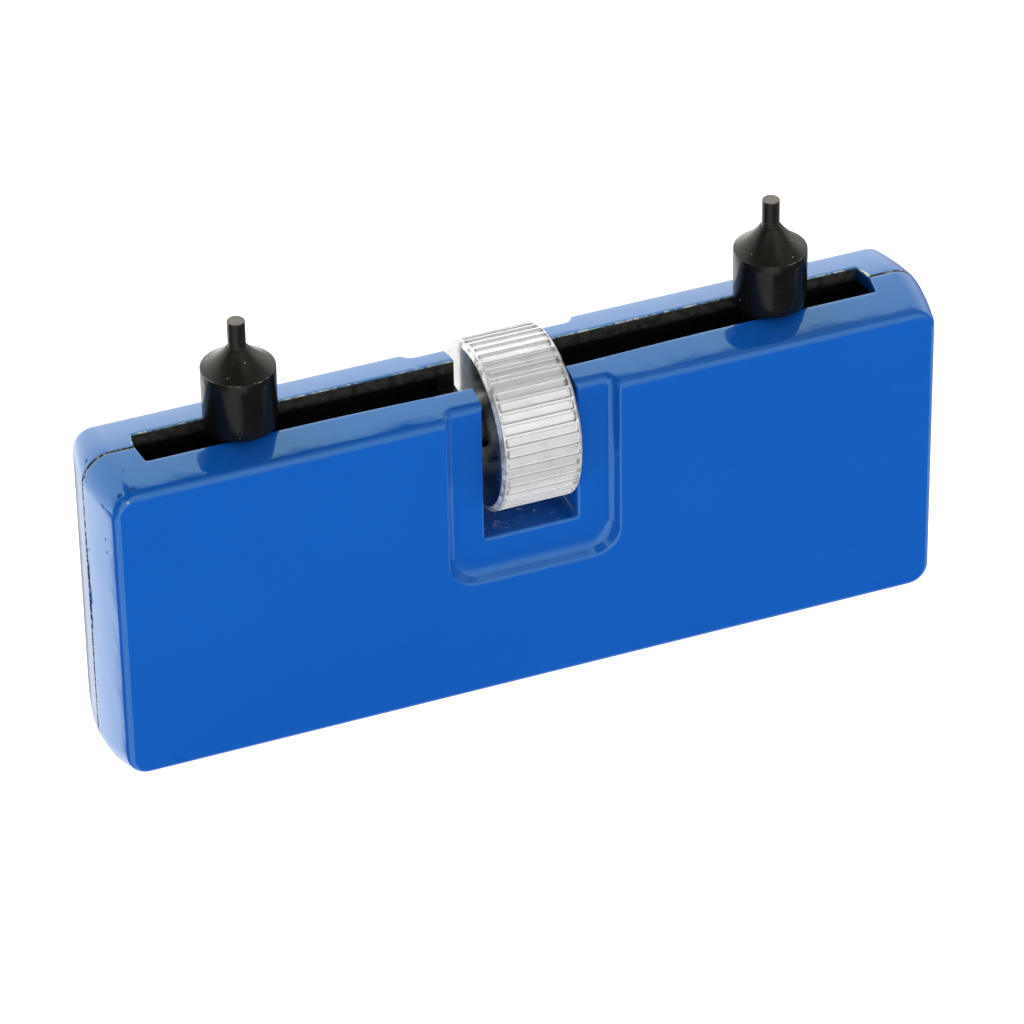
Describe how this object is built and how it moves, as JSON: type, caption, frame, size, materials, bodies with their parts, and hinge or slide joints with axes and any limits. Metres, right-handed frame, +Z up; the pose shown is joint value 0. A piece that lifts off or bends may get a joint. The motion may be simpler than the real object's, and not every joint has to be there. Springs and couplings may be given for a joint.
{
  "type": "case back opener",
  "caption": "Hand tool whose thumbwheel turns a lead screw with opposite threads, to move two pin jaws along a slot and unscrew a watch's case back.",
  "frame": {"origin": "centre of the bottom land, on the seam between the two shells", "axes": "+X along the body from the left jaw to the right jaw, -Y out of the front face, +Z up along the jaw pins"},
  "size_m": [0.08, 0.0158, 0.0427],
  "materials": {
    "blue_paint": "gloss enamel on die-cast metal",
    "plated_steel": "satin plated",
    "blackened_steel": "black oxide, satin",
    "bronze": "oiled bearing bronze",
    "screw_steel": "oiled, cut thread",
    "wheel_aluminium": "bright turned"
  },
  "bodies": {
    "body": {"front_shell": "blue_paint", "rear_shell": "blue_paint", "shell_screws": "plated_steel", "locating_pins": "plated_steel", "left_front_guide_strip": "blackened_steel", "left_rear_guide_strip": "blackened_steel", "right_front_guide_strip": "blackened_steel", "right_rear_guide_strip": "blackened_steel", "left_end_bush": "bronze", "right_end_bush": "bronze", "left_centre_bush": "bronze", "right_centre_bush": "bronze", "left_thrust_washer": "plated_steel", "right_thrust_washer": "plated_steel"},
    "wheel_and_screw": {"lead_screw": "screw_steel", "thumbwheel": "wheel_aluminium", "wheel_pin": "plated_steel"},
    "left_jaw_slider": {"left_nut_block": "blackened_steel", "left_jaw_pin_lock": "plated_steel", "left_jaw": "blackened_steel"},
    "right_jaw_slider": {"right_nut_block": "blackened_steel", "right_jaw_pin_lock": "plated_steel", "right_jaw": "blackened_steel"}
  },
  "joints": [
    {"name": "wheel_spin", "type": "hinge", "parent": "body", "child": "wheel_and_screw", "pos_m": [0, 0, 0.02585], "axis": [1, 0, 0], "range_deg": [-2460, 5808]},
    {"name": "left_jaw_slide", "type": "slide", "parent": "body", "child": "left_jaw_slider", "axis": [1, 0, 0], "range_m": [-0.00685, 0.01615]},
    {"name": "right_jaw_slide", "type": "slide", "parent": "body", "child": "right_jaw_slider", "axis": [1, 0, 0], "range_m": [-0.01615, 0.00685]}
  ],
  "couplings": [
    {"joint": "left_jaw_slide", "follows": "wheel_spin", "m_per_rad": 0.00015915},
    {"joint": "right_jaw_slide", "follows": "wheel_spin", "m_per_rad": -0.00015915}
  ]
}
